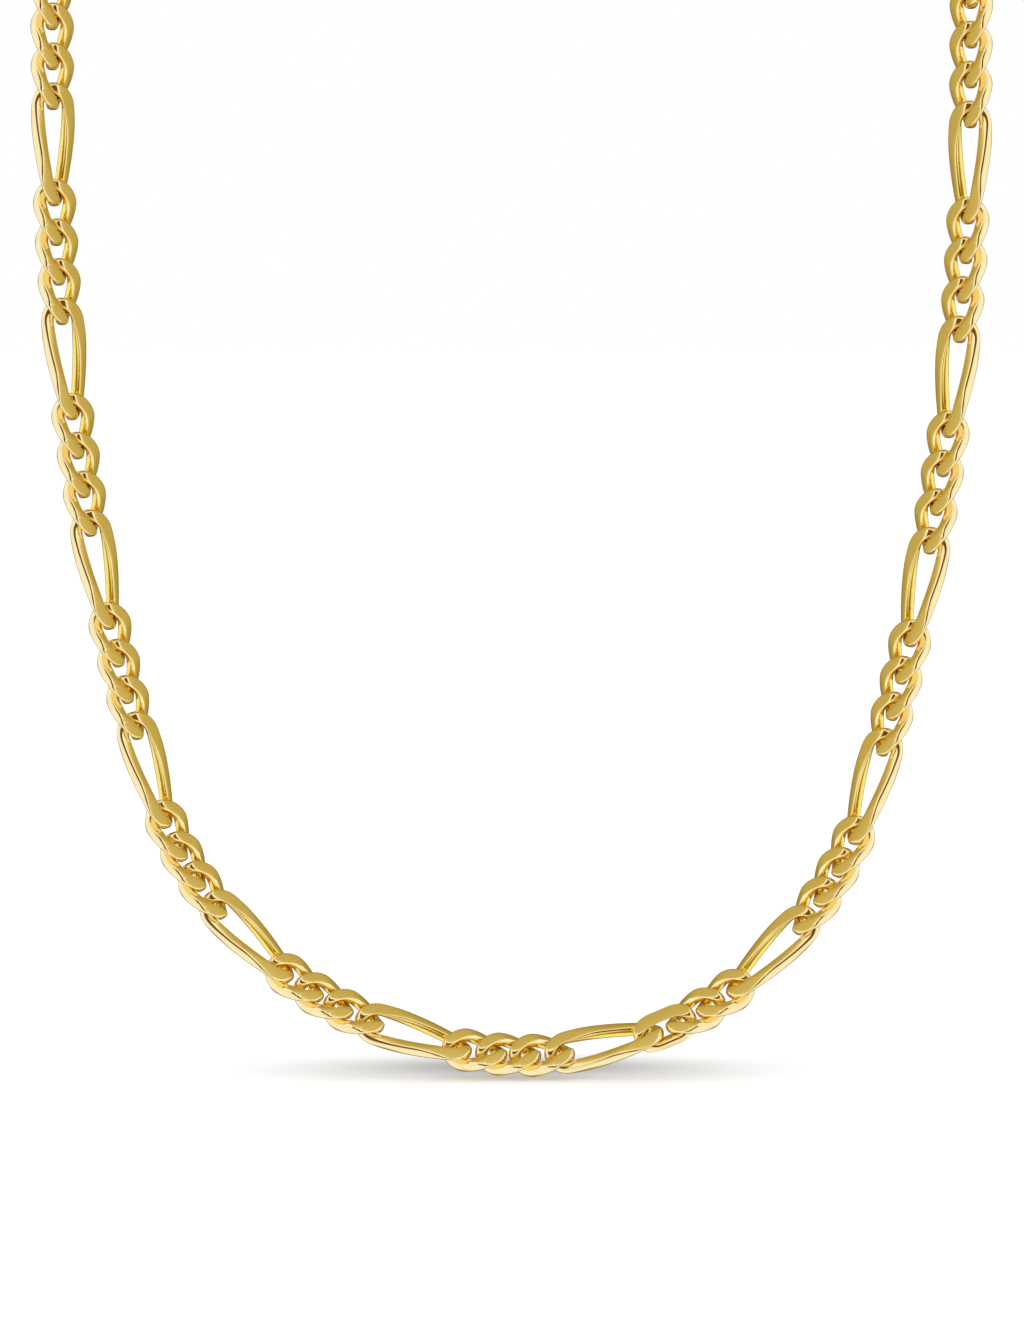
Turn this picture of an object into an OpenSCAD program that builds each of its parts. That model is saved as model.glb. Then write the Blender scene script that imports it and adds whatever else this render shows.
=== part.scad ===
// Figaro chain necklace: flat-cut curb links, three short ones to each long one, in one closed loop.
// It hangs from the nape, where its origin is. Millimetres: +X is the viewer's right, +Z is up,
// and the viewer stands on the -Y side.

/* [Links] */
// thickness of the wire
wire = 1.58; // [1.2:0.02:2]
// room on either side of the neighbour's wire that crosses a link
side_room = 0.4; // [0.3:0.02:0.6]
// room along a short link, between the wires of its two neighbours
short_room = 1.92; // [1.8:0.02:3]
// how much longer a long link is
long_extra = 6.9; // [4:0.1:10]
// short links between two long ones
shorts = 3; // [1:1:5]
// twist from the middle of a short link to each of its ends, in degrees
short_twist = 53; // [50:1:56]
// twist from the middle of a long link to each of its ends, in degrees
long_twist = 49; // [47:1:54]
// thickness of the chain between its two cut faces
cut_thickness = 2.5; // [1.9:0.1:2.8]
// roll of the whole chain about its own length, in degrees
roll = 38; // [0:1:42]
// play along each link on the sides of the loop
side_play = 0.23; // [0.15:0.01:0.4]
// more play along each short link at the bottom of the loop
short_play = 0.66; // [0:0.02:0.8]
// more play along each long link at the bottom of the loop
long_play = 0.15; // [0:0.01:0.3]
// how far from the bottom's middle the chain lies looser
loose_reach = 70; // [20:1:100]
// the joint right of the bottom's middle where the two hands of links meet
seam = 20; // [0:0.1:30]

/* [Loop] */
// radius of the bottom of the loop
bottom_radius = 46.25; // [42:0.25:60]
// radius of the sides, which lean inward to the bottom
side_radius = 290; // [200:1:400]
// lean of the sides where they meet the bottom, in degrees
side_lean = 16.4; // [10:0.1:25]
// how far the bottom hangs to the right of the loop's middle
drift = 2.25; // [-2.5:0.05:2.5]
// how far along the chain from the bottom's middle it does so
drift_reach = 35; // [34:1:60]
// straight height above the leaning sides
upright = 12.25; // [0:0.25:30]
// radius of the turn back over the shoulders
shoulder_radius = 46; // [42:1:60]
// straight run from the shoulders to the nape, to the nearest link
back_run = 9.6; // [6:0.1:40]
// rise of the loop towards the nape, in degrees above level
nape_rise = 30; // [10:1:50]

/* [Clasp] */
// length of the clasp between the two rings that it holds
clasp_length = 13; // [11:0.5:15]
// thickness of the clasp's barrel
clasp_width = 3.4; // [3:0.1:3.8]
// thickness of the wire of the end rings and of the clasp's eyes
ring_wire = 1; // [0.8:0.05:1]

/* [Hidden] */
$fn = 48;

// sizes of a link that follow from its wire: what crosses it has the same thickness
link_width = 3 * wire + 2 * side_room;
bow = (link_width - wire) / 2;
half_cut = cut_thickness / 2;
short_inside = 2 * wire + short_room;
long_inside = short_inside + long_extra;

// the plain link at the seam stands turned, so that both of its neighbours can cross it
seam_turn = (short_twist + long_twist) / 2;

// the end rings and the clasp's eyes: play, clear radius, then the length that they take up
ring_play = 0.3;
ring_inside = (wire + ring_wire) / 2 + 0.35;
eye_inside = ring_wire / 2 + 0.3;
ring_pitch = 2 * ring_inside - ring_play;
clasp_room = 2 * ring_pitch + clasp_length;

// the right half of the route from the bottom's middle to the nape, as it would be with no whole links.
// A stretch is [kind, radius, length]: kind 0 is straight, 1 bends inward, 2 bends back from the viewer
function arc_length(radius, angle) = radius * angle * PI / 180;
side_out = bottom_radius * sin(90 - side_lean) + side_radius * (1 - sin(90 - side_lean));
bottom_arc = arc_length(bottom_radius, 90 - side_lean);
side_arc = arc_length(side_radius, side_lean);
shoulder_arc = arc_length(shoulder_radius, 90 - nape_rise);
nape_arc = arc_length(side_out, 90);
curved = bottom_arc + side_arc + upright + shoulder_arc + nape_arc;

// joints, counted outward from the seam on either side as far as the clasp and its rings. A step along
// the route allows for what the drift adds to its length there, so that each link keeps its play
function is_long(k, first) = k >= first && (k - first) % (shorts + 1) == 0;
function inside(k, first) = is_long(k, first) ? long_inside : short_inside;
function play(u, k, first) =
    side_play + (is_long(k, first) ? long_play : short_play) * exp(-pow(u / loose_reach, 4));
function drift_at(u) = drift * exp(-pow(u / drift_reach, 2));
function drift_stretch(u) =
    -2 * u / pow(drift_reach, 2) * drift_at(u) * cos(min(abs(u) / bottom_radius * 180 / PI, 90));
function step(u, pitch) = pitch / (1 + drift_stretch(u + pitch / 2));
function count_out(side, first, reach) =
    [for (k = 0, u = seam; side * u < reach + long_inside;
          u = u + step(u, side * (inside(k, first) - play(u, k, first))), k = k + 1) u];
function up_to(list, reach) =
    [for (k = [0:len(list) - 1]) if (k == 0 || abs(list[k] + list[k - 1]) / 2 < reach) list[k]];
left_first = 1;
right_first = shorts - 1;
wanted = curved + back_run - clasp_room / 2;
left_joints = up_to(count_out(-1, left_first, wanted), wanted);
right_joints = up_to(count_out(1, right_first, wanted), wanted);
left_end = left_joints[len(left_joints) - 1];
right_end = right_joints[len(right_joints) - 1];
half_loop = (right_end - left_end + clasp_room) / 2;

route = [
    [1, bottom_radius, bottom_arc],
    [1, side_radius, side_arc],
    [0, 0, upright],
    [2, shoulder_radius, shoulder_arc],
    [0, 0, half_loop - curved],
    [1, side_out, nape_arc]];

// a frame is [place, way along the chain, inward, outward face]; go() moves one along a stretch
function go(f, kind, radius, u) =
    kind == 0 ? [f[0] + u * f[1], f[1], f[2], f[3]] :
    let (a = u / radius * 180 / PI, c = cos(a), s = sin(a))
    kind == 1 ? [f[0] + radius * (s * f[1] + (1 - c) * f[2]), c * f[1] + s * f[2], c * f[2] - s * f[1], f[3]]
              : [f[0] + radius * (s * f[1] - (1 - c) * f[3]), c * f[1] - s * f[3], f[2], c * f[3] + s * f[1]];
starts = [for (k = 0, u = 0, f = [[0, 0, 0], [1, 0, 0], [0, 0, 1], [0, -1, 0]]; k < len(route);
               f = go(f, route[k][0], route[k][1], route[k][2]), u = u + route[k][2], k = k + 1) [u, f]];
function stretch(u) = max([for (k = [0:len(route) - 1]) if (k == 0 || starts[k][0] <= u) k]);
function right_side(u) = let (k = stretch(u)) go(starts[k][1], route[k][0], route[k][1], u - starts[k][0]);
function flip(v) = [-v[0], v[1], v[2]];
function left_side(u) = let (f = right_side(u)) [flip(f[0]), -flip(f[1]), flip(f[2]), flip(f[3])];
function at(u) =
    let (v = u > half_loop ? u - 2 * half_loop : u < -half_loop ? u + 2 * half_loop : u,
         f = v >= 0 ? right_side(v) : left_side(-v))
    [f[0] + [drift_at(v), 0, 0], f[1], f[2], f[3]];

// the origin is on the clasp's barrel, on the side that rests on the nape
function unit(v) = v / norm(v);
nape = let (f = right_side(half_loop), g = right_side(half_loop - clasp_length / 2))
    [0, g[0][1], g[0][2]] + f[2] * clasp_width / 2;

// what sits between two joints: [middle, way along, inward, outward face], rolled with the chain
function seat(from, to) =
    let (a = at(from)[0], b = at(to)[0], n = at((from + to) / 2)[3],
         x = unit(b - a), z = unit(n - (n * x) * x), y = cross(z, x))
    [(a + b) / 2 - nape, x, cos(roll) * y - sin(roll) * z, cos(roll) * z + sin(roll) * y];
function clamp(v, most) = max(-most, min(most, v));

// the middle line of a link, each point with its outward direction. The slanting corners of an end
// stand out a little, so that its flat sides leave as much room inside as a round end
function bulge(a) = bow * (a % 90 == 0 ? 1 : 1.05);
function middle_line(reach, extra) = concat(
    [for (a = [-90:45:90]) [reach + bulge(a) * cos(a), bulge(a) * sin(a), cos(a), sin(a)]],
    [for (q = [1:extra]) [reach - 2 * reach * q / (extra + 1), bow, 0, 1]],
    [for (a = [90:45:270]) [-reach + bulge(a) * cos(a), bulge(a) * sin(a), cos(a), sin(a)]],
    [for (q = [1:extra]) [-reach + 2 * reach * q / (extra + 1), -bow, 0, -1]]);

// a link is [inside, from, to, hand]; hand 1 and -1 twist opposite ways, and 0 is the plain link
sides = 6;
function link_points(link) =
    let (long = link[0] > (short_inside + long_inside) / 2,
         line = middle_line(link[0] / 2 + wire / 2 - bow, long ? 3 : 1),
         end = (link[0] + wire) / 2, s = seat(link[1], link[2]), hand = link[3])
    [for (c = line) for (j = [0:sides - 1])
        let (a = j * 360 / sides,
             x = c[0] + wire / 2 * cos(a) * c[2],
             y = c[1] + wire / 2 * cos(a) * c[3],
             z = wire / 2 * sin(a),
             f = hand == 0 ? seam_turn : hand * (long ? long_twist : short_twist) * clamp(x / end, 1.15),
             v = y * sin(f) + z * cos(f))
        s[0] + x * s[1] + (y * cos(f) - z * sin(f)) * s[2]
             + (hand == 0 ? v : clamp(v, half_cut)) * s[3]];
function link_faces(first, count) =
    [for (i = [0:count - 1]) for (j = [0:sides - 1])
        let (k = (i + 1) % count, l = (j + 1) % sides,
             a = first + i * sides + j, b = first + k * sides + j,
             c = first + k * sides + l, d = first + i * sides + l)
        each [[a, c, b], [a, d, c]]];

module chain(links) {
    points = [for (link = links) link_points(link)];
    firsts = [for (k = 0, n = 0; k < len(points); n = n + len(points[k]), k = k + 1) n];
    polyhedron(points = [for (p = points) each p],
        faces = [for (k = [0:len(points) - 1]) each link_faces(firsts[k], len(points[k]) / sides)]);
}

module in_seat(from, to) {
    s = seat(from, to);
    multmatrix([for (r = [0:2]) [s[1][r], s[2][r], s[3][r], s[0][r]]]) children();
}

module wire_ring(inside) {
    rotate_extrude() translate([inside + ring_wire / 2, 0]) circle(d = ring_wire);
}

// all links left of the seam, with the plain one at the seam
module left_chain() {
    color("gold") chain([for (k = [0:len(left_joints) - 2])
        [inside(k, left_first), left_joints[k + 1], left_joints[k], k == 0 ? 0 : -1]]);
}

// all links right of the seam
module right_chain() {
    color("gold") chain([for (k = [0:len(right_joints) - 2])
        [inside(k, right_first), right_joints[k], right_joints[k + 1], 1]]);
}

// the ring between the last left link and the clasp
module left_ring() {
    color("gold") in_seat(left_end - ring_pitch, left_end)
        rotate([short_twist - 90, 0, 0]) wire_ring(ring_inside);
}

// the ring between the last right link and the clasp
module right_ring() {
    color("gold") in_seat(right_end, right_end + ring_pitch)
        rotate([short_twist - 90, 0, 0]) wire_ring(ring_inside);
}

// a plain barrel with an eye at each end
module clasp() {
    eye_out = (clasp_length + ring_play) / 2 - eye_inside;
    barrel_out = eye_out - eye_inside - 0.15;
    color("gold") in_seat(right_end + ring_pitch, right_end + ring_pitch + clasp_length)
        rotate([short_twist, 0, 0]) union() {
            for (side = [-1, 1]) {
                translate([side * eye_out, 0, 0]) wire_ring(eye_inside);
                translate([side * (barrel_out - clasp_width / 2), 0, 0]) sphere(d = clasp_width);
            }
            rotate([0, 90, 0])
                cylinder(d = clasp_width, h = 2 * barrel_out - clasp_width, center = true);
        }
}

left_chain();
right_chain();
left_ring();
clasp();
right_ring();
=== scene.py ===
# Gold figaro chain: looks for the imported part, in metres, in the frame of its solids.
import math

import bpy
import numpy as np
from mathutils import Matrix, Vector


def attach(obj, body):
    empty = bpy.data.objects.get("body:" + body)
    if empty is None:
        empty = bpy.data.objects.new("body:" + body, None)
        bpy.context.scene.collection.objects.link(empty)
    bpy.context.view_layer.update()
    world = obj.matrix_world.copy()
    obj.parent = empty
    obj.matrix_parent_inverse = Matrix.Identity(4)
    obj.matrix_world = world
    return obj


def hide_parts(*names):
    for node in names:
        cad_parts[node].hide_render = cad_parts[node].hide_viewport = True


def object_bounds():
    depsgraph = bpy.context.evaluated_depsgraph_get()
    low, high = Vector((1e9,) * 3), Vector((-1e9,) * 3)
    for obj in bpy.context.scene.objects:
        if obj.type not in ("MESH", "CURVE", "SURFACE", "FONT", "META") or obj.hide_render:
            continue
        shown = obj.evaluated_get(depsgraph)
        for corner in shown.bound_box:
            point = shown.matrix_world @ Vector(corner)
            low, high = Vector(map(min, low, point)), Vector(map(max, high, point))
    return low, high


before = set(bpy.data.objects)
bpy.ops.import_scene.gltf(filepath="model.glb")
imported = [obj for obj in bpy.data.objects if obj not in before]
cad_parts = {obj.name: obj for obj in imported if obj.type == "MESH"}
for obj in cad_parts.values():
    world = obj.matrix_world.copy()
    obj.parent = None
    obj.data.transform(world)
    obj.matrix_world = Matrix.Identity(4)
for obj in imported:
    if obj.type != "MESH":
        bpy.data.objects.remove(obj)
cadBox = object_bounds()
mm = 0.001
print("frame loaded:", ", ".join(sorted(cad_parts)))


class Field:
    # a socket of a node tree; arithmetic on it adds Math nodes

    def __init__(self, maker, socket):
        self.maker = maker
        self.socket = socket

    def math(self, operation, *others):
        values = dict(enumerate((self, *others)))
        return self.maker.add("ShaderNodeMath", {"operation": operation}, values)

    def reflected(self, operation, first):
        return self.maker.add("ShaderNodeMath", {"operation": operation}, {0: first, 1: self})

    def __add__(self, other):
        return self.math("ADD", other)

    def __radd__(self, other):
        return self.reflected("ADD", other)

    def __sub__(self, other):
        return self.math("SUBTRACT", other)

    def __rsub__(self, other):
        return self.reflected("SUBTRACT", other)

    def __mul__(self, other):
        return self.math("MULTIPLY", other)

    def __rmul__(self, other):
        return self.reflected("MULTIPLY", other)

    def __truediv__(self, other):
        return self.math("DIVIDE", other)

    def __rtruediv__(self, other):
        return self.reflected("DIVIDE", other)

    def clamped(self):
        return self.maker.add("ShaderNodeClamp", {}, {"Value": self})


class NodeMaker:
    # adds nodes to one tree, which it empties first

    def __init__(self, tree):
        self.tree = tree
        tree.nodes.clear()

    def add(self, kind, settings=None, sockets=None, out=0):
        # out is the output that is handed on
        node = self.tree.nodes.new(kind)
        for key, value in (settings or {}).items():
            if key == "stops":
                self.setStops(node.color_ramp.elements, value)
            else:
                setattr(node, key, value)
        for key, value in (sockets or {}).items():
            self.feed(node.inputs[key], value)
        return Field(self, node.outputs[out]) if len(node.outputs) else None

    def setStops(self, elements, stops):
        while len(elements) < len(stops):
            elements.new(0.5)
        for element, (place, tone) in zip(elements, stops):
            element.position = place
            element.color = (*tone, 1)

    def feed(self, socket, value):
        # a list links several fields to one socket
        if isinstance(value, list):
            for field in value:
                self.feed(socket, field)
        elif isinstance(value, Field):
            self.tree.links.new(value.socket, socket)
        else:
            socket.default_value = value

    def mix(self, share, first, second):
        # Mix has its sockets for colours at 6 and 7, and their result at 2
        return self.add("ShaderNodeMix", {"data_type": "RGBA"}, {0: share, 6: first, 7: second}, 2)

    def vector(self, operation, first, second=None, out="Vector"):
        given = {0: first} if second is None else {0: first, 1: second}
        return self.add("ShaderNodeVectorMath", {"operation": operation}, given, out)

    def noise(self, place, size, detail):
        return self.add("ShaderNodeTexNoise", {}, {"Vector": place, "Scale": 1 / size, "Detail": detail})


def newMaterial(name):
    material = bpy.data.materials.new(name)
    material.use_nodes = True
    return material, NodeMaker(material.node_tree)


def addObject(name, data):
    thing = bpy.data.objects.new(name, data)
    bpy.context.scene.collection.objects.link(thing)
    return thing


def grey(level):
    return (level, level, level, 1)


# the route of the loop, the same as in the part's source, in millimetres
loop = {
    "bottomRadius": 46.25,
    "sideRadius": 290,
    "sideLean": 16.4,      # degrees
    "drift": 2.25,         # how far the bottom hangs to the right
    "driftReach": 35,      # and how far along the chain it does so
    "upright": 12.25,
    "shoulderRadius": 46,
    "backRun": 9.6,
    "napeRise": 30,        # degrees
    "seam": 20,            # the joint where the two hands of links meet
    "loosePlace": 70,      # how far from the bottom's middle the links hang closer together
    "sidePlay": 0.23,      # play along each link everywhere
    "shortPlay": 0.66,     # and how much more short and long links have at the bottom
    "longPlay": 0.15,
    "shortInside": 5.08,   # lengths of the links' holes
    "longInside": 11.98,
    "shorts": 3,           # short links between two long ones
    "roll": 38,            # degrees, of the whole chain about its length
    "wire": 1.58,          # thickness that the rings leave room for
    "ringWire": 1,
    "ringRoom": 0.7,       # how much wider a ring's hole is than the two wires in it
    "ringPlay": 0.3,
    "claspLength": 13,
    "claspWidth": 3.4,
}
ringPitch = loop["wire"] + loop["ringWire"] + loop["ringRoom"] - loop["ringPlay"]
claspRoom = 2 * ringPitch + loop["claspLength"]


def arcLength(radius, angle):
    return radius * math.radians(angle)


# the bend at the nape has half the width of the loop, where its sides stand upright, as its radius
leanCosine = math.cos(math.radians(loop["sideLean"]))
neckRadius = loop["bottomRadius"] * leanCosine + loop["sideRadius"] * (1 - leanCosine)
napeArc = arcLength(neckRadius, 90)
# the right half of the route: how it bends, its radius and its length
stretches = [
    ("in", loop["bottomRadius"], arcLength(loop["bottomRadius"], 90 - loop["sideLean"])),
    ("in", loop["sideRadius"], arcLength(loop["sideRadius"], loop["sideLean"])),
    ("straight", 0, loop["upright"]),
    ("back", loop["shoulderRadius"], arcLength(loop["shoulderRadius"], 90 - loop["napeRise"])),
]
curved = sum(length for _, _, length in stretches) + napeArc


def isLong(k, first):
    return k >= first and (k - first) % (loop["shorts"] + 1) == 0


def driftAt(u):
    return loop["drift"] * math.exp(-(u / loop["driftReach"]) ** 2)


def driftStretch(u):
    # how much longer the drift makes the route there
    turn = min(abs(u) / loop["bottomRadius"], math.pi / 2)
    return -2 * u / loop["driftReach"] ** 2 * driftAt(u) * math.cos(turn)


def countOut(side, first):
    # joints outward from the seam, as far as the clasp and its rings; first is the first long link
    wanted = curved + loop["backRun"] - claspRoom / 2
    joints, k = [loop["seam"]], 0
    while True:
        u = joints[-1]
        inside = loop["longInside"] if isLong(k, first) else loop["shortInside"]
        looser = loop["longPlay"] if isLong(k, first) else loop["shortPlay"]
        play = loop["sidePlay"] + looser * math.exp(-(u / loop["loosePlace"]) ** 4)
        pitch = side * (inside - play)
        after = u + pitch / (1 + driftStretch(u + pitch / 2))
        if abs(after + u) / 2 >= wanted:
            return joints
        joints.append(after)
        k += 1


leftFirst = 1
rightFirst = loop["shorts"] - 1
leftJoints = countOut(-1, leftFirst)
rightJoints = countOut(1, rightFirst)
halfLoop = (rightJoints[-1] - leftJoints[-1] + claspRoom) / 2
stretches += [("straight", 0, halfLoop - curved), ("in", neckRadius, napeArc)]


def moveAlong(start, kind, radius, u):
    # a frame is place, way along the chain, inward, outward face
    place, way, inward, face = start
    if kind == "straight":
        return place + u * way, way, inward, face
    c, s = math.cos(u / radius), math.sin(u / radius)
    if kind == "in":
        return (place + radius * (s * way + (1 - c) * inward),
                c * way + s * inward, c * inward - s * way, face)
    return (place + radius * (s * way - (1 - c) * face),
            c * way - s * face, inward, c * face + s * way)


# how far along the chain each stretch starts, and the frame there
starts = [(0.0, (Vector((0, 0, 0)), Vector((1, 0, 0)), Vector((0, 0, 1)), Vector((0, -1, 0))))]
for kind, radius, length in stretches:
    starts.append((starts[-1][0] + length, moveAlong(starts[-1][1], kind, radius, length)))


def rightSide(u):
    k = max(i for i in range(len(stretches)) if i == 0 or starts[i][0] <= u)
    kind, radius, _ = stretches[k]
    return moveAlong(starts[k][1], kind, radius, u - starts[k][0])


def frameAt(u):
    # the left half mirrors the right one, and the drift moves both
    v = u - 2 * halfLoop if u > halfLoop else u + 2 * halfLoop if u < -halfLoop else u
    place, way, inward, face = (part.copy() for part in rightSide(abs(v)))
    if v < 0:
        for part in (place, way, inward, face):
            part.x = -part.x
        way = -way
    place.x += driftAt(v)
    return place, way, inward, face


# the part's origin lies where the clasp's barrel touches the nape
napeInward = rightSide(halfLoop)[2]
claspEnd = rightSide(halfLoop - loop["claspLength"] / 2)[0]
nape = Vector((0, claspEnd.y, claspEnd.z)) + napeInward * loop["claspWidth"] / 2


def seatBetween(u, v):
    # middle, way along and outward face of the link between two joints, rolled with the chain
    a, b, n = frameAt(u)[0], frameAt(v)[0], frameAt((u + v) / 2)[3]
    x = (b - a).normalized()
    z = (n - n.dot(x) * x).normalized()
    y = z.cross(x)
    roll = math.radians(loop["roll"])
    return (a + b) / 2 - nape, x, math.cos(roll) * z + math.sin(roll) * y


print("route:", len(leftJoints) - 1, "left and", len(rightJoints) - 1, "right links,",
      round(2 * halfLoop, 1), "mm round")


# one link, in millimetres: squarish wire bent to a long loop, twisted, and cut flat on two faces
linkLook = {
    "width": 5.38,
    "across": 1.58,        # the wire in the link's plane
    "through": 1.6,        # and at right angles to it
    "squareness": 2.6,     # 2 is a round wire
    "shortInside": 5.1,
    "longInside": 11.98,
    "endLength": 1.12,     # how much longer the link's ends are than half round ones
    "shortTwist": 52,      # degrees from the middle to each end
    "longTwist": 45,
    "twistStop": 1.15,     # the twist stops here, where 1 is the middle of the link's end
    "seamTurn": 50,        # degrees that the plain link at the seam is turned
    "wireTurn": 13,        # the wire itself leans further than the link's plane, in degrees
    "seamWireTurn": -8,    # and the plain link's wire by this
    "halfCut": 1.21,       # from the chain's middle to each of its cut faces
    "crown": 0.04,         # what is left of the wire's own form on the cut faces
    "edge": 0.28,          # how far from the cut the rounding of its edges reaches
    "innerFrom": 0.65,     # how squarely the wire's side has to face the hole to be inner wall
    "innerFade": 0.2,
    "bowSteps": 16,        # faces along each end
    "shortSteps": 5,       # and along each straight side
    "longSteps": 20,
    "around": 38,          # points round the wire
    "outlineSteps": 1440,  # points of the fine outline that those are picked from
    "cornerShare": 0.5,    # how far the points gather where the wire's skin turns, 0 to 1
    "shortCrinkled": 1,    # how crinkled the inner walls are
    "longCrinkled": 0.2,
}
bowRadius = (linkLook["width"] - linkLook["across"]) / 2
bowLength = bowRadius * linkLook["endLength"]


def wireOutline():
    # the wire's section: out from the link's middle, up from its plane, and how much of it is inner wall
    look = linkLook
    turn = np.linspace(0, 2 * np.pi, look["outlineSteps"], endpoint=False)
    size = (np.abs(np.cos(turn) * 2 / look["across"]) ** look["squareness"]
            + np.abs(np.sin(turn) * 2 / look["through"]) ** look["squareness"]) ** (-1 / look["squareness"])
    inner = np.clip((-np.cos(turn) - look["innerFrom"]) / look["innerFade"], 0, 1)
    return size * np.cos(turn), size * np.sin(turn), inner


wireOut, wireUp, wireInner = wireOutline()


def linkMiddle(q, inside):
    # place and way outward in the link's plane; q is 4 once round: an end, a side, an end and a side
    reach = inside / 2 + linkLook["across"] / 2 - bowLength
    part, t = math.floor(q) % 4, q - math.floor(q)
    side = 1 if part < 2 else -1
    if part % 2:
        return side * reach * (1 - 2 * t), side * bowRadius, 0, side
    c, s = math.cos(math.pi * (t - 0.5)), math.sin(math.pi * (t - 0.5))
    whole = math.hypot(c * bowRadius, s * bowLength)
    return (side * (reach + bowLength * c), side * bowRadius * s,
            side * c * bowRadius / whole, side * s * bowLength / whole)


def linkSection(q, inside, twist, hand):
    # the skin once round the wire, and how much of it is cut face
    look = linkLook
    middleX, middleY, outX, outY = linkMiddle(q, inside)
    lean = -np.radians(look["wireTurn"] if hand else look["seamWireTurn"]) * outY
    far = wireOut * np.cos(lean) - wireUp * np.sin(lean)
    high = wireOut * np.sin(lean) + wireUp * np.cos(lean)
    x, y = middleX + far * outX, middleY + far * outY
    if hand:
        end = (inside + look["across"]) / 2
        f = hand * np.radians(twist) * np.clip(x / end, -look["twistStop"], look["twistStop"])
    else:
        f = np.full_like(x, np.radians(look["seamTurn"]))
    v, w = y * np.cos(f) - high * np.sin(f), y * np.sin(f) + high * np.cos(f)
    # what stands over a cut face goes, with a soft edge
    over, soft = np.abs(w) - look["halfCut"], look["edge"]
    gone = np.where(over > soft, over, np.where(over > -soft, (over + soft) ** 2 / (4 * soft), 0))
    w = np.sign(w) * (np.abs(w) - gone + look["crown"] * np.maximum(over, 0))
    return np.stack([x, v, w], 1), np.clip(over / soft, 0, 1)


def pickRound(curve):
    # where on the curve its points go, counting both the way round and the turning
    step = np.roll(curve, -1, 0) - curve
    length = np.linalg.norm(step, axis=1)
    ways = step / np.maximum(length, 1e-9)[:, None]
    bend = np.arccos(np.clip((ways * np.roll(ways, 1, 0)).sum(1), -1, 1))
    share, count = linkLook["cornerShare"], linkLook["around"]
    counted = np.cumsum((1 - share) * length / length.sum() + share * bend / bend.sum())
    return np.interp(np.arange(count) / count, np.append(0, counted), np.arange(len(counted) + 1))


def skinNormals(curve, along):
    # the true way out of the skin, so that mirrored lines run smooth
    skin = np.cross(np.roll(curve, -1, 0) - np.roll(curve, 1, 0), along)
    return skin / np.maximum(np.linalg.norm(skin, axis=1), 1e-12)[:, None]


def makeLink(name, kind, hand):
    # hand is 1 or -1 for the way of the twist, and 0 for the plain link
    inside, twist, sideSteps = (linkLook[kind + value] for value in ("Inside", "Twist", "Steps"))
    places = [k / linkLook["bowSteps"] for k in range(linkLook["bowSteps"])]
    places += [1 + k / sideSteps for k in range(sideSteps)]
    places += [2 + q for q in places]
    near = 0.01     # step of q that the way along the wire is taken from
    rings = []
    for q in places:
        curve, flat = linkSection(q, inside, twist, hand)
        before, after = (linkSection(p, inside, twist, hand)[0] for p in (q - near, q + near))
        ring = np.column_stack([curve, skinNormals(curve, after - before), flat, wireInner * (1 - flat)])
        ring = np.vstack([ring, ring[:1]])
        at = pickRound(curve)
        rings.append(np.column_stack([np.interp(at, np.arange(len(ring)), column) for column in ring.T]))
    table = np.concatenate(rings)
    points, normals, cut, inner = table[:, :3] * mm, table[:, 3:6], table[:, 6], table[:, 7]
    normals = normals / np.linalg.norm(normals, axis=1)[:, None]
    a = np.arange(len(table)).reshape(len(places), linkLook["around"])
    b = np.roll(a, -1, 0)
    faces = np.stack([a, b, np.roll(b, -1, 1), np.roll(a, -1, 1)], 2).reshape(-1, 4)
    # faces and normals have to look outwards
    corners = points[faces]
    if np.einsum("ij,ij->i", corners[:, 0], np.cross(corners[:, 1], corners[:, 2])).sum() < 0:
        faces = faces[:, ::-1]
        corners = points[faces]
    outward = np.cross(corners[:, 2] - corners[:, 0], corners[:, 3] - corners[:, 1])
    if (outward * normals[faces[:, 0]]).sum() < 0:
        normals = -normals
    mesh = bpy.data.meshes.new(name)
    mesh.from_pydata(points.tolist(), [], faces.tolist())
    crinkled = inner * linkLook[kind + "Crinkled"]
    for title, values in (("cutFace", cut), ("innerWall", inner), ("crinkled", crinkled)):
        mesh.attributes.new(title, "FLOAT", "POINT").data.foreach_set("value", values.tolist())
    mesh.polygons.foreach_set("use_smooth", [True] * len(faces))
    mesh.update()
    mesh.normals_split_custom_set_from_vertices(normals.tolist())
    return bpy.data.objects.new(name, mesh)


linkShapes = {}
for hand, side in ((-1, "Left"), (1, "Right")):
    for kind in ("short", "long"):
        linkShapes[kind + side] = makeLink(kind + "Link" + side, kind, hand)
linkShapes["plain"] = makeLink("plainLink", "short", 0)
print("links made:", ", ".join(f"{k} {len(o.data.polygons)}" for k, o in linkShapes.items()))


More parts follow.
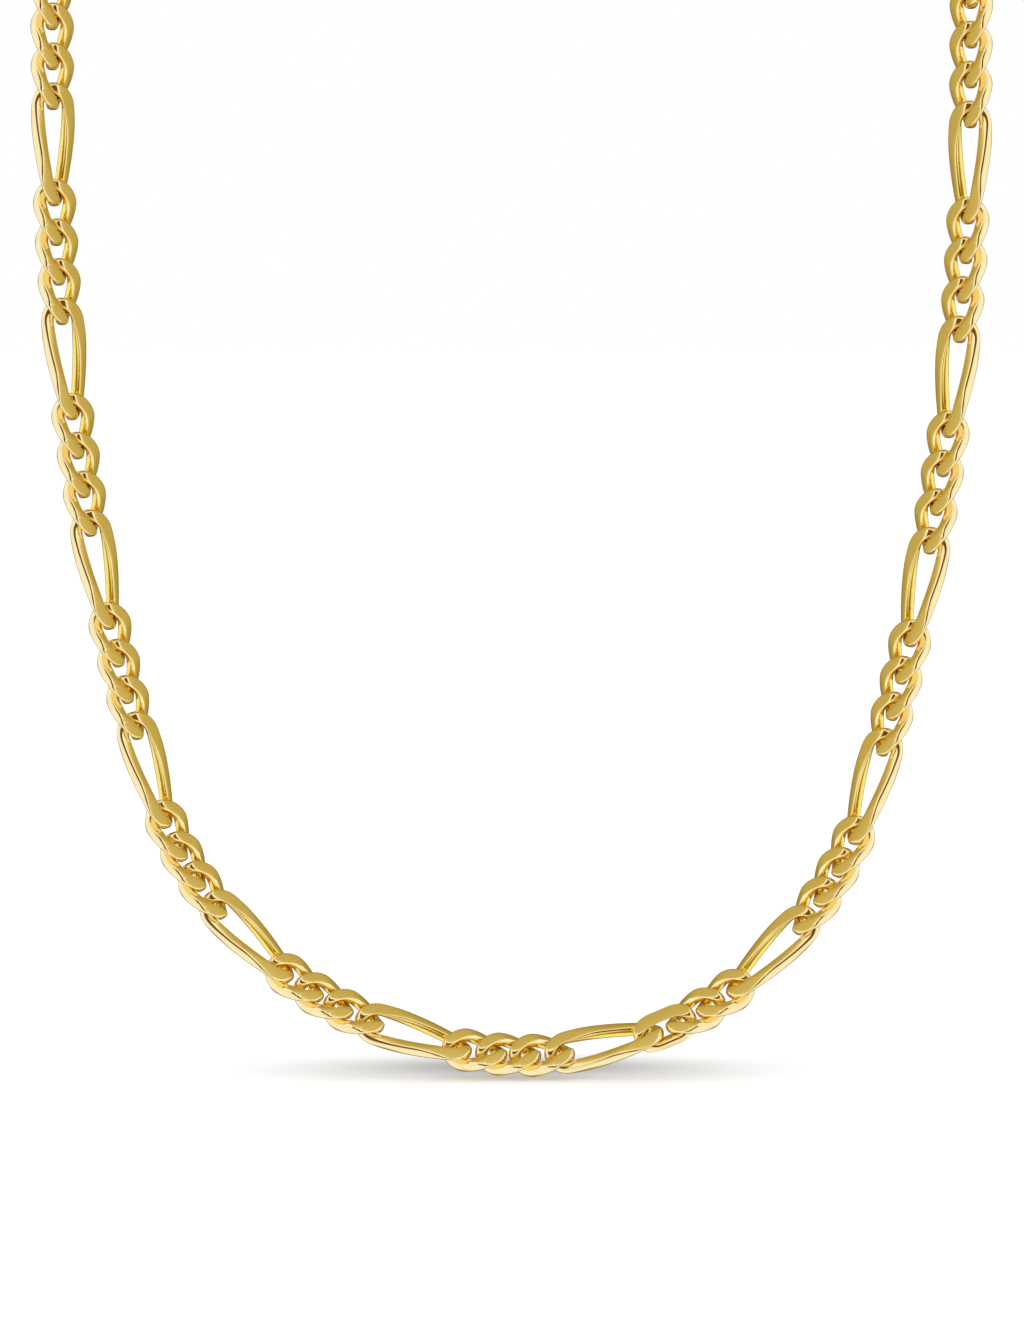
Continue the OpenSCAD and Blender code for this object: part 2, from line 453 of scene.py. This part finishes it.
goldLook = {
    "colour": (0.95, 0.76, 0.33, 1),
    "deeper": (0.94, 0.72, 0.29, 1),
    "inner": (0.95, 0.71, 0.14, 1),    # painted reflection: the walls that face the hole get the deeper yellow of gold mirrored in gold
    "cloudSize": 1.6,      # mm, of the clouds of deeper colour
    "cloudFrom": 0.35,     # where in the noise they start
    "cloudGain": 2.2,      # and how quickly they get deep
    "cloudRough": 0.06,    # how much the roughness varies with them
    "polish": 0.09,        # roughness of the round sides
    "cutPolish": 0.15,     # roughness of the cut faces
    "innerRough": 0.08,    # how much rougher the inner walls are
    "ripple": 0.5,         # mm, faint waves of the polish
    "rippleDepth": 0.004,  # mm
    "crinkle": 0.36,       # mm, unpolished skin of the inner walls
    "crinkleDepth": 0.04,  # mm
    "lineSize": (0.6, 0.6, 0.05),      # mm, fine lines of the lapping wheel
    "lineTurn": (0.3, 0.5, 0.2),
    "lineRough": 0.05,     # how much the roughness varies with them
    "lineDepth": 0.0012,   # mm, on the cut faces
    "fill": 0.012,         # faint glow that keeps what links mirror of each other from going black
    "fillColour": (1.0, 0.53, 0.13, 1),
}


def makeGold(name, forLinks):
    look = goldLook
    material, nodes = newMaterial(name)
    place = nodes.add("ShaderNodeTexCoord", out="Object")
    clouds = nodes.noise(place, look["cloudSize"] * mm, detail=2)
    waves = nodes.noise(place, look["ripple"] * mm, detail=1)
    perMetre = tuple(1 / (size * mm) for size in look["lineSize"])
    streaks = nodes.add("ShaderNodeMapping", {}, {
        "Vector": place, "Scale": perMetre, "Rotation": look["lineTurn"]})
    lines = nodes.noise(streaks, 1, detail=3)
    deeper = ((clouds - look["cloudFrom"]) * look["cloudGain"]).clamped()
    colour = nodes.mix(deeper, look["colour"], look["deeper"])
    rough = look["polish"] + (clouds - 0.5) * look["cloudRough"] + (lines - 0.5) * look["lineRough"]
    height = waves * look["rippleDepth"]
    if forLinks:
        cut, inner, crinkled = (nodes.add("ShaderNodeAttribute", {"attribute_name": title}, out="Fac")
                                for title in ("cutFace", "innerWall", "crinkled"))
        # painted reflection: the inner walls take a deeper yellow that stands in for gold mirrored in gold
        colour = nodes.mix(inner, colour, look["inner"])
        rough = rough + cut * (look["cutPolish"] - look["polish"]) + inner * look["innerRough"]
        crinkles = nodes.noise(place, look["crinkle"] * mm, detail=2)
        height = height + lines * cut * look["lineDepth"] + crinkles * crinkled * look["crinkleDepth"]
    bump = nodes.add("ShaderNodeBump", {}, {"Height": height, "Strength": 1.0, "Distance": mm})
    shader = nodes.add("ShaderNodeBsdfPrincipled", {}, {
        "Base Color": colour, "Metallic": 1.0, "Roughness": rough, "Normal": bump,
        "Emission Color": look["fillColour"], "Emission Strength": look["fill"]})
    nodes.add("ShaderNodeOutputMaterial", {}, {"Surface": shader})
    return material


linkGold = makeGold("polishedGold", True)
fittingGold = makeGold("polishedGoldFittings", False)
print("gold made")


chainLook = {
    "looseTurn": 0.6,      # degrees, the most that a link is turned at random
    "seed": 7,
}


def makeChainTree():
    # sets a link on each point, which lies between two joints, along the point's way and face
    tree = bpy.data.node_groups.new("linksAlongRoute", "GeometryNodeTree")
    nodes = NodeMaker(tree)
    for name, kind in (("Geometry", "Geometry"), ("Short link", "Object"), ("Long link", "Object"),
                       ("Plain link", "Object"), ("Loose turn", "Float"), ("Seed", "Int"),
                       ("Gold", "Material")):
        tree.interface.new_socket(name, in_out="INPUT", socket_type="NodeSocket" + kind)
    tree.interface.new_socket("Geometry", in_out="OUTPUT", socket_type="NodeSocketGeometry")

    def given(name):
        return nodes.add("NodeGroupInput", out=name)

    def stored(name, kind):
        return nodes.add("GeometryNodeInputNamedAttribute", {"data_type": kind}, {"Name": name})

    # the last shape that is joined is number 0
    shapes = nodes.add("GeometryNodeJoinGeometry", {}, {0: [
        nodes.add("GeometryNodeObjectInfo", {}, {"Object": given(name), "As Instance": True}, "Geometry")
        for name in ("Plain link", "Long link", "Short link")]})
    straight = nodes.add("FunctionNodeAxesToRotation", {"primary_axis": "X", "secondary_axis": "Z"},
                         {0: stored("way", "FLOAT_VECTOR"), 1: stored("face", "FLOAT_VECTOR")})
    # Random Value has its sockets for plain numbers at 2 and 3, and their result at 1
    most = given("Loose turn")
    loose = nodes.add("FunctionNodeRandomValue", {"data_type": "FLOAT"},
                      {2: -1 * most, 3: most, "Seed": given("Seed")}, 1)
    turn = nodes.add("FunctionNodeAxisAngleToRotation", {}, {"Axis": (1, 0, 0), "Angle": loose})
    turned = nodes.add("FunctionNodeRotateRotation", {"rotation_space": "LOCAL"},
                       {"Rotation": straight, "Rotate By": turn})
    put = nodes.add("GeometryNodeInstanceOnPoints", {}, {
        "Points": given("Geometry"), "Instance": shapes, "Pick Instance": True,
        "Instance Index": stored("kind", "INT"), "Rotation": turned})
    real = nodes.add("GeometryNodeRealizeInstances", {}, {"Geometry": put})
    gilded = nodes.add("GeometryNodeSetMaterial", {}, {"Geometry": real, "Material": given("Gold")})
    nodes.add("NodeGroupOutput", {}, {"Geometry": gilded})
    return tree


chainTree = makeChainTree()


def setInputs(modifier, values):
    for item in modifier.node_group.interface.items_tree:
        if item.item_type == "SOCKET" and item.in_out == "INPUT" and item.name in values:
            modifier[item.identifier] = values[item.name]


def makeSeats(name, joints, first, side):
    # a point for each link, with its way, its face and its kind: 0 short, 1 long, 2 plain
    places, ways, faces, kinds = [], [], [], []
    for k, (u, v) in enumerate(zip(joints, joints[1:])):
        middle, way, face = seatBetween(v, u) if side == "Left" else seatBetween(u, v)
        places.append(middle * mm)
        ways.append(way)
        faces.append(face)
        kinds.append(1 if isLong(k, first) else 2 if side == "Left" and k == 0 else 0)
    mesh = bpy.data.meshes.new(name)
    mesh.from_pydata(places, [], [])
    for title, values in (("way", ways), ("face", faces)):
        data = mesh.attributes.new(title, "FLOAT_VECTOR", "POINT").data
        data.foreach_set("vector", [q for v in values for q in v])
    mesh.attributes.new("kind", "INT", "POINT").data.foreach_set("value", kinds)
    return addObject(name, mesh)


def makeHalf(name, joints, first, side):
    seats = makeSeats(name + "Seats", joints, first, side)
    modifier = seats.modifiers.new("links", "NODES")
    modifier.node_group = chainTree
    setInputs(modifier, {
        "Short link": linkShapes["short" + side],
        "Long link": linkShapes["long" + side],
        "Plain link": linkShapes["plain"],
        "Loose turn": math.radians(chainLook["looseTurn"]),
        "Seed": chainLook["seed"],
        "Gold": linkGold})
    bpy.context.view_layer.update()
    made = seats.evaluated_get(bpy.context.evaluated_depsgraph_get())
    mesh = bpy.data.meshes.new_from_object(made)
    bpy.data.objects.remove(seats)
    mesh.name = name
    print(name, len(joints) - 1, "links,", sum(len(p.vertices) - 2 for p in mesh.polygons), "triangles")
    return addObject(name, mesh)


leftLinks = makeHalf("leftLinks", leftJoints, leftFirst, "Left")
rightLinks = makeHalf("rightLinks", rightJoints, rightFirst, "Right")
for piece, node in ((leftLinks, "left_chain"), (rightLinks, "right_chain")):
    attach(piece, "root")
    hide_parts(node)

# rings and clasp keep their solids and get the finish
for node in ("left_ring", "clasp", "right_ring"):
    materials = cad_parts[node].data.materials
    materials.clear()
    materials.append(fittingGold)
print("rings and clasp dressed")


floorLook = {
    "size": 6,             # metres
    "drop": 0.2,           # mm under the lowest link
    "pale": 0.9,
    "rough": 0.9,
    "glow": 0.12,          # keeps the paper white
    "shade": 0.36,         # how much of the floor's light is left in the middle of the soft shade
    "shadeReach": 22,      # mm, how far that shade spreads to either side
    "shadeDepth": 7.9,     # and to the front and the back
    "shadeBack": 9,        # mm, how far behind the chain its middle is
    "shadeAside": 1,       # and how far to the right of the clasp's middle
}


def makeFloor():
    look = floorLook
    low = cadBox[0].z - look["drop"] * mm
    half = look["size"] / 2
    points = [(-half, -half, low), (half, -half, low), (half, half, low), (-half, half, low)]
    mesh = bpy.data.meshes.new("floor")
    mesh.from_pydata(points, [], [(0, 1, 2, 3)])
    floor = addObject("floor", mesh)
    paper, nodes = newMaterial("whitePaper")
    place = nodes.add("ShaderNodeTexCoord", out="Object")
    middle = (look["shadeAside"] * mm, (look["shadeBack"] - nape.y) * mm, low)
    spread = (look["shadeReach"] * mm, look["shadeDepth"] * mm, 1)
    spot = nodes.vector("DIVIDE", nodes.vector("SUBTRACT", place, middle), spread)
    far = nodes.vector("LENGTH", spot, out="Value")
    shaded = (far * far * -1).math("EXPONENT")
    shader = nodes.add("ShaderNodeBsdfPrincipled", {}, {
        "Base Color": nodes.mix(shaded, grey(look["pale"]), grey(look["pale"] * look["shade"])),
        "Roughness": look["rough"], "Specular IOR Level": 0.0,
        "Emission Color": nodes.mix(shaded, grey(1), grey(look["shade"])),
        "Emission Strength": look["glow"]})
    nodes.add("ShaderNodeOutputMaterial", {}, {"Surface": shader})
    mesh.materials.append(paper)
    floor.visible_glossy = False


makeFloor()


# a card inside the loop that only the gold mirrors; without it the links would have no dark side
cardLook = {
    "inset": 14,           # mm inward of the chain
    "reach": 165,          # mm along the chain to either side
    "steps": 120,
    "legs": 70,            # mm that its two ends rise straight up
    # how far in front of the chain, in mm, and the card's tone there
    "tones": [
        (400, (0.14, 0.068, 0.015)),
        (70, (0.15, 0.072, 0.016)),
        (56, (1.10, 1.14, 1.34)),
        (24, (1.10, 1.14, 1.34)),
        (12, (0.70, 0.64, 0.37)),
        (5, (0.55, 0.475, 0.21)),
        (0, (0.48, 0.41, 0.165)),
        (-14, (0.37, 0.29, 0.105)),
        (-40, (0.29, 0.22, 0.07))],
}


def makeInnerCard():
    look = cardLook
    inset, front, rows = look["inset"] * mm, -nape.y * mm, len(look["tones"])
    line = []
    for u in np.linspace(-look["reach"], look["reach"], look["steps"] + 1):
        place, _, inward, _ = frameAt(float(u))
        line.append((place - nape) * mm + inward * inset)
    leg = Vector((0, 0, look["legs"] * mm))
    line = [line[0] + leg] + line + [line[-1] + leg]
    points = [(p.x, front - depth * mm, p.z) for p in line for depth, _ in look["tones"]]
    faces = [(k, k + rows, k + rows + 1, k + 1)
             for k in range(len(points) - rows) if k % rows < rows - 1]
    mesh = bpy.data.meshes.new("innerCard")
    mesh.from_pydata(points, [], faces)
    tones = mesh.attributes.new("tone", "FLOAT_COLOR", "POINT").data
    tones.foreach_set("color", [q for _ in line for _, tone in look["tones"] for q in (*tone, 1)])
    card = addObject("innerCard", mesh)
    material, nodes = newMaterial("cardTones")
    tone = nodes.add("ShaderNodeAttribute", {"attribute_name": "tone"}, out="Color")
    glow = nodes.add("ShaderNodeEmission", {}, {"Color": tone, "Strength": 1.0})
    nodes.add("ShaderNodeOutputMaterial", {}, {"Surface": glow})
    mesh.materials.append(material)
    for ray in ("camera", "diffuse", "shadow", "transmission", "volume_scatter"):
        setattr(card, "visible_" + ray, False)


makeInnerCard()


lightLook = {
    "power": 1.2,          # watts
    "size": 1.4,           # metres
    "place": (0.0, 0.06, 0.5),
    "aim": (0.0, -0.078, -0.2),
}


def makeTopLight():
    place, aim = Vector(lightLook["place"]), Vector(lightLook["aim"])
    light = bpy.data.lights.new("topSoftbox", "AREA")
    light.size = lightLook["size"]
    light.energy = lightLook["power"]
    lamp = addObject("topSoftbox", light)
    lamp.location = place
    lamp.rotation_euler = (aim - place).to_track_quat("-Z", "Y").to_euler()
    lamp.visible_glossy = False


makeTopLight()


# the camera sees a white room, and the gold mirrors a tent with a dark side
worldLook = {
    "darkRise": 12,        # degrees, how far up the dark side of the tent is centred
    "darkTall": 1.5,       # its height to its width
    # tones by the angle from the middle of the dark side, 0 to 1 for 0 to 180 degrees
    "tones": [
        (0.0, (0.13, 0.062, 0.013)),
        (0.14, (0.15, 0.072, 0.016)),
        (0.17, (0.92, 0.96, 1.1)),
        (0.3, (1.02, 1.11, 1.46)),
        (0.62, (1.02, 1.11, 1.46)),
        (0.78, (0.42, 0.33, 0.14)),
        (1.0, (0.12, 0.07, 0.015))],
}


def makeWorld():
    world = bpy.data.worlds.new("studio")
    bpy.context.scene.world = world
    world.use_nodes = True
    nodes = NodeMaker(world.node_tree)
    rise = math.radians(worldLook["darkRise"])
    way = nodes.add("ShaderNodeTexCoord", out="Generated")
    way = nodes.vector("NORMALIZE", nodes.vector("MULTIPLY", way, (1, 1, 1 / worldLook["darkTall"])))
    ahead = nodes.vector("DOT_PRODUCT", way, (0, -math.cos(rise), math.sin(rise)), "Value")
    angle = ahead.math("ARCCOSINE") / math.pi
    tones = nodes.add("ShaderNodeValToRGB", {"stops": worldLook["tones"]}, {"Fac": angle}, "Color")
    mirrored = nodes.add("ShaderNodeLightPath", out="Is Glossy Ray")
    seen = nodes.mix(mirrored, grey(1), tones)
    studio = nodes.add("ShaderNodeBackground", {}, {"Color": seen, "Strength": 1.0})
    nodes.add("ShaderNodeOutputWorld", {}, {"Surface": studio})


makeWorld()


cameraLook = {
    "lens": 150,           # mm
    "sensor": 36,          # mm
    "elevation": 5,        # degrees above level
    "aside": 0.04,         # mm, what the picture's middle shows, from the bottom of the loop
    "above": 48.2,
    "tall": 165.19,        # mm of the object in the picture's height
    "clip": (0.01, 20),    # metres
}


def makeCamera():
    look = cameraLook
    camera = addObject("camera", bpy.data.cameras.new("camera"))
    camera.data.lens = look["lens"]
    camera.data.sensor_width = look["sensor"]
    camera.data.clip_start, camera.data.clip_end = look["clip"]
    far = look["tall"] * mm * look["lens"] / look["sensor"]
    tilt = math.radians(look["elevation"])
    middle = (Vector((look["aside"], 0, look["above"])) - nape) * mm
    camera.location = middle + far * Vector((0, -math.cos(tilt), math.sin(tilt)))
    camera.rotation_euler = (math.pi / 2 - tilt, 0, 0)
    bpy.context.scene.camera = camera


makeCamera()
bpy.context.scene.view_settings.view_transform = "Standard"
print("stage set")
